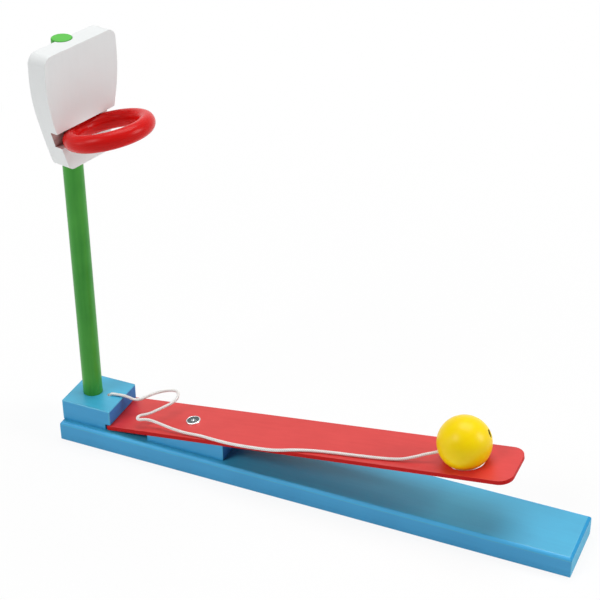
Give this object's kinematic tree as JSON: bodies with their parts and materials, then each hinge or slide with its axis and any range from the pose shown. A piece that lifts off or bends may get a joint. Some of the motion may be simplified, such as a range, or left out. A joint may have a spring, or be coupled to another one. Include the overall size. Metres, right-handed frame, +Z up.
{
  "type": "tabletop basketball game",
  "caption": "Tabletop hoop game: a plank base with a post, backboard and ring, and a springy strip that launches a tethered wooden ball.",
  "frame": {"origin": "centre of the base board's underside", "axes": "+X from the post to the strip's free end, +Z up, -Y the near long side"},
  "size_m": [0.325, 0.06, 0.2602],
  "materials": {
    "blue_paint": "satin blue paint on beech",
    "green_paint": "satin green paint on dowel",
    "white_paint": "satin white paint on wood",
    "red_lacquer": "gloss red lacquer on a turned ring",
    "red_paint": "satin red paint on thin plywood",
    "screw_steel": "bright zinc plated steel",
    "yellow_lacquer": "gloss yellow lacquer on a turned ball",
    "cotton_cord": "waxed white cotton"
  },
  "bodies": {
    "stand": {"base_board": "blue_paint", "post_block": "blue_paint", "pole": "green_paint", "backboard": "white_paint", "hoop_ring": "red_lacquer", "wedge_block": "blue_paint", "strip_root": "red_paint", "strip_screw": "screw_steel", "string_at_post": "cotton_cord"},
    "strip": {"launch_strip": "red_paint", "string_on_strip": "cotton_cord"},
    "ball": {"ball": "yellow_lacquer", "string_at_ball": "cotton_cord"}
  },
  "joints": [
    {"name": "strip_flex", "type": "hinge", "parent": "stand", "child": "strip", "pos_m": [-0.02575, 0, 0.02797], "axis": [0, 1, 0], "range_deg": [0, 12], "stiffness_Nm_per_rad": 7.6, "springref_deg": -0.17},
    {"name": "ball_lift", "type": "slide", "parent": "strip", "child": "ball", "axis": [-0.1368, 0, 0.9906], "range_m": [0, 0.03]}
  ]
}
